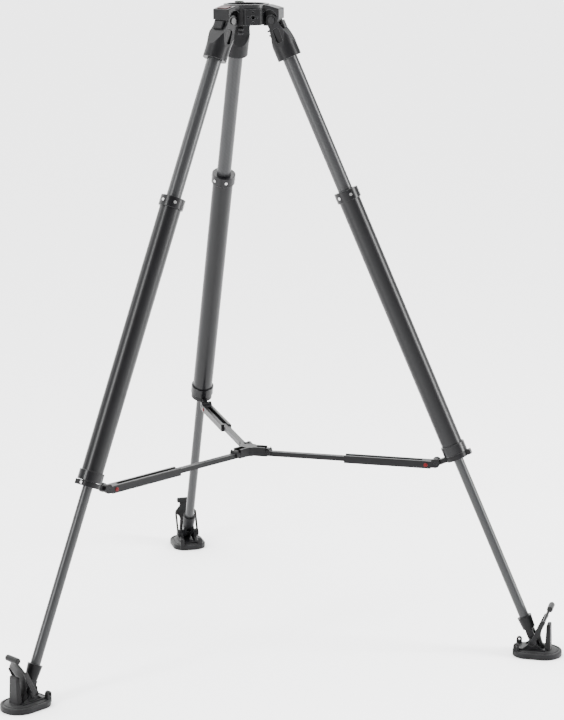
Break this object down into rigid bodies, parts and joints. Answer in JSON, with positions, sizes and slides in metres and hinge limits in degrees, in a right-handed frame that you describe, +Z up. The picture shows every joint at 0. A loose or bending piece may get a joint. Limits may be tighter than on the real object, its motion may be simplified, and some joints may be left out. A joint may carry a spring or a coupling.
{
  "type": "tripod",
  "caption": "Standing video tripod with a half-ball bowl, telescoping carbon legs with twist locks, a mid-level spreader and tilting rubber shoes.",
  "frame": {"origin": "centre of the bowl's rim, on its top face", "axes": "+Z up out of the bowl, +Y over the rear leg, +X towards the right leg's side"},
  "size_m": [1.1214, 0.981, 1.277],
  "materials": {
    "crown_metal": "fine-textured satin black on a die casting",
    "rim_metal": "smooth satin black, machined",
    "steel": "turned and brushed",
    "carbon": "clear-coated carbon fibre weave",
    "anodised": "satin black anodised tube",
    "black_plastic": "fine matte grain",
    "rubber": "matte rubber",
    "red_plate": "satin dark red",
    "red_button": "smooth dark red",
    "vial_fluid": "clear green-yellow vial"
  },
  "bodies": {
    "crown": {"crown_casting": "crown_metal", "bowl_ring": "rim_metal", "leg_axles": "steel", "level_body": "black_plastic", "level_vial": "vial_fluid", "badge_plate": "red_plate"},
    "leg_left": {"bracket_left": "crown_metal", "upper_tube_left": "carbon"},
    "latch_left": {"angle_latch_left": "black_plastic"},
    "extension_left": {"outer_tube_left": "anodised", "top_collar_left": "rim_metal", "collar_screws_left": "steel", "lock_collet_left": "black_plastic", "spreader_clamp_left": "crown_metal"},
    "lock_left": {"lock_collar_left": "rim_metal"},
    "lower_leg_left": {"lower_tube_left": "carbon", "foot_cup_left": "black_plastic"},
    "shoe_left": {"shoe_pad_left": "rubber", "shoe_cradle_left": "black_plastic", "shoe_strap_left": "rubber"},
    "arm_left": {"arm_channel_left": "black_plastic"},
    "button_left": {"arm_button_left": "red_button"},
    "bar_left": {"arm_bar_left": "black_plastic"},
    "leg_right": {"bracket_right": "crown_metal", "upper_tube_right": "carbon"},
    "latch_right": {"angle_latch_right": "black_plastic"},
    "extension_right": {"outer_tube_right": "anodised", "top_collar_right": "rim_metal", "collar_screws_right": "steel", "lock_collet_right": "black_plastic", "spreader_clamp_right": "crown_metal"},
    "lock_right": {"lock_collar_right": "rim_metal"},
    "lower_leg_right": {"lower_tube_right": "carbon", "foot_cup_right": "black_plastic"},
    "shoe_right": {"shoe_pad_right": "rubber", "shoe_cradle_right": "black_plastic", "shoe_strap_right": "rubber"},
    "arm_right": {"arm_channel_right": "black_plastic"},
    "button_right": {"arm_button_right": "red_button"},
    "bar_right": {"arm_bar_right": "black_plastic"},
    "leg_rear": {"bracket_rear": "crown_metal", "upper_tube_rear": "carbon"},
    "latch_rear": {"angle_latch_rear": "black_plastic"},
    "extension_rear": {"outer_tube_rear": "anodised", "top_collar_rear": "rim_metal", "collar_screws_rear": "steel", "lock_collet_rear": "black_plastic", "spreader_clamp_rear": "crown_metal"},
    "lock_rear": {"lock_collar_rear": "rim_metal"},
    "lower_leg_rear": {"lower_tube_rear": "carbon", "foot_cup_rear": "black_plastic"},
    "shoe_rear": {"shoe_pad_rear": "rubber", "shoe_cradle_rear": "black_plastic", "shoe_strap_rear": "rubber"},
    "arm_rear": {"arm_channel_rear": "black_plastic"},
    "button_rear": {"arm_button_rear": "red_button"},
    "bar_rear": {"arm_bar_rear": "black_plastic"},
    "hub": {"spreader_hub": "black_plastic"}
  },
  "joints": [
    {"name": "leg_fold_left", "type": "hinge", "parent": "crown", "child": "leg_left", "pos_m": [-0.04763, -0.0275, -0.0305], "axis": [-0.5, 0.866, 0], "range_deg": [-21.1, 0]},
    {"name": "angle_latch_left", "type": "slide", "parent": "leg_left", "child": "latch_left", "axis": [-0.7936, -0.4582, 0.4003], "range_m": [0, 0.005], "stiffness_N_per_m": 300, "springref_m": -0.002},
    {"name": "upper_slide_left", "type": "slide", "parent": "leg_left", "child": "extension_left", "axis": [-0.3467, -0.2002, -0.9164], "range_m": [-0.262, 0]},
    {"name": "lock_twist_left", "type": "hinge", "parent": "extension_left", "child": "lock_left", "pos_m": [-0.36314, -0.20966, -0.86439], "axis": [-0.3467, -0.2002, -0.9164], "range_deg": [0, 75]},
    {"name": "lower_slide_left", "type": "slide", "parent": "extension_left", "child": "lower_leg_left", "axis": [-0.3467, -0.2002, -0.9164], "range_m": [-0.315, 0]},
    {"name": "shoe_tilt_left", "type": "hinge", "parent": "lower_leg_left", "child": "shoe_left", "pos_m": [-0.50723, -0.29285, -1.24523], "axis": [0.5, -0.866, 0], "range_deg": [-18, 25]},
    {"name": "arm_swing_left", "type": "hinge", "parent": "extension_left", "child": "arm_left", "pos_m": [-0.33201, -0.19169, -0.89352], "axis": [-0.5, 0.866, 0], "range_deg": [-65.7, 0]},
    {"name": "arm_button_left", "type": "slide", "parent": "arm_left", "child": "button_left", "axis": [0.5, -0.866, 0], "range_m": [0, 0.001], "stiffness_N_per_m": 400, "springref_m": -0.001},
    {"name": "bar_slide_left", "type": "slide", "parent": "arm_left", "child": "bar_left", "axis": [0.866, 0.5, 0], "range_m": [-0.1325, 0]},
    {"name": "leg_fold_right", "type": "hinge", "parent": "crown", "child": "leg_right", "pos_m": [0.04763, -0.0275, -0.0305], "axis": [-0.5, -0.866, 0], "range_deg": [-21.2, 0]},
    {"name": "angle_latch_right", "type": "slide", "parent": "leg_right", "child": "latch_right", "axis": [0.7936, -0.4582, 0.4003], "range_m": [0, 0.005], "stiffness_N_per_m": 300, "springref_m": -0.002},
    {"name": "upper_slide_right", "type": "slide", "parent": "leg_right", "child": "extension_right", "axis": [0.3467, -0.2002, -0.9164], "range_m": [-0.262, 0]},
    {"name": "lock_twist_right", "type": "hinge", "parent": "extension_right", "child": "lock_right", "pos_m": [0.36314, -0.20966, -0.86439], "axis": [0.3467, -0.2002, -0.9164], "range_deg": [0, 75]},
    {"name": "lower_slide_right", "type": "slide", "parent": "extension_right", "child": "lower_leg_right", "axis": [0.3467, -0.2002, -0.9164], "range_m": [-0.315, 0]},
    {"name": "shoe_tilt_right", "type": "hinge", "parent": "lower_leg_right", "child": "shoe_right", "pos_m": [0.50723, -0.29285, -1.24523], "axis": [0.5, 0.866, 0], "range_deg": [-18, 25]},
    {"name": "arm_swing_right", "type": "hinge", "parent": "extension_right", "child": "arm_right", "pos_m": [0.33201, -0.19169, -0.89352], "axis": [-0.5, -0.866, 0], "range_deg": [-65.7, 0]},
    {"name": "arm_button_right", "type": "slide", "parent": "arm_right", "child": "button_right", "axis": [0.5, 0.866, 0], "range_m": [0, 0.001], "stiffness_N_per_m": 400, "springref_m": -0.001},
    {"name": "bar_slide_right", "type": "slide", "parent": "arm_right", "child": "bar_right", "axis": [-0.866, 0.5, 0], "range_m": [-0.1325, 0]},
    {"name": "leg_fold_rear", "type": "hinge", "parent": "crown", "child": "leg_rear", "pos_m": [0, 0.055, -0.0305], "axis": [1, 0, 0], "range_deg": [-21.2, 0]},
    {"name": "angle_latch_rear", "type": "slide", "parent": "leg_rear", "child": "latch_rear", "axis": [0, 0.9164, 0.4003], "range_m": [0, 0.005], "stiffness_N_per_m": 300, "springref_m": -0.002},
    {"name": "upper_slide_rear", "type": "slide", "parent": "leg_rear", "child": "extension_rear", "axis": [0, 0.4003, -0.9164], "range_m": [-0.262, 0]},
    {"name": "lock_twist_rear", "type": "hinge", "parent": "extension_rear", "child": "lock_rear", "pos_m": [0, 0.41932, -0.86439], "axis": [0, 0.4003, -0.9164], "range_deg": [0, 75]},
    {"name": "lower_slide_rear", "type": "slide", "parent": "extension_rear", "child": "lower_leg_rear", "axis": [0, 0.4003, -0.9164], "range_m": [-0.315, 0]},
    {"name": "shoe_tilt_rear", "type": "hinge", "parent": "lower_leg_rear", "child": "shoe_rear", "pos_m": [0, 0.5857, -1.24523], "axis": [-1, 0, 0], "range_deg": [-18, 25]},
    {"name": "arm_swing_rear", "type": "hinge", "parent": "extension_rear", "child": "arm_rear", "pos_m": [0, 0.38337, -0.89352], "axis": [1, 0, 0], "range_deg": [-65.7, 0]},
    {"name": "arm_button_rear", "type": "slide", "parent": "arm_rear", "child": "button_rear", "axis": [-1, 0, 0], "range_m": [0, 0.001], "stiffness_N_per_m": 400, "springref_m": -0.001},
    {"name": "bar_slide_rear", "type": "slide", "parent": "arm_rear", "child": "bar_rear", "axis": [0, -1, 0], "range_m": [-0.1325, 0]},
    {"name": "hub_lift", "type": "slide", "parent": "crown", "child": "hub", "axis": [0, 0, -1], "range_m": [-0.153, 0]}
  ],
  "couplings": [
    {"joint": "arm_swing_left", "follows": "leg_fold_left", "ratio": 3.104},
    {"joint": "bar_slide_left", "follows": "leg_fold_left", "m_per_rad": 0.35844},
    {"joint": "leg_fold_right", "follows": "leg_fold_left", "ratio": 1},
    {"joint": "arm_swing_right", "follows": "leg_fold_left", "ratio": 3.104},
    {"joint": "bar_slide_right", "follows": "leg_fold_left", "m_per_rad": 0.35844},
    {"joint": "leg_fold_rear", "follows": "leg_fold_left", "ratio": 1},
    {"joint": "arm_swing_rear", "follows": "leg_fold_left", "ratio": 3.104},
    {"joint": "bar_slide_rear", "follows": "leg_fold_left", "m_per_rad": 0.35844},
    {"joint": "hub_lift", "follows": "leg_fold_left", "m_per_rad": 0.4145}
  ]
}
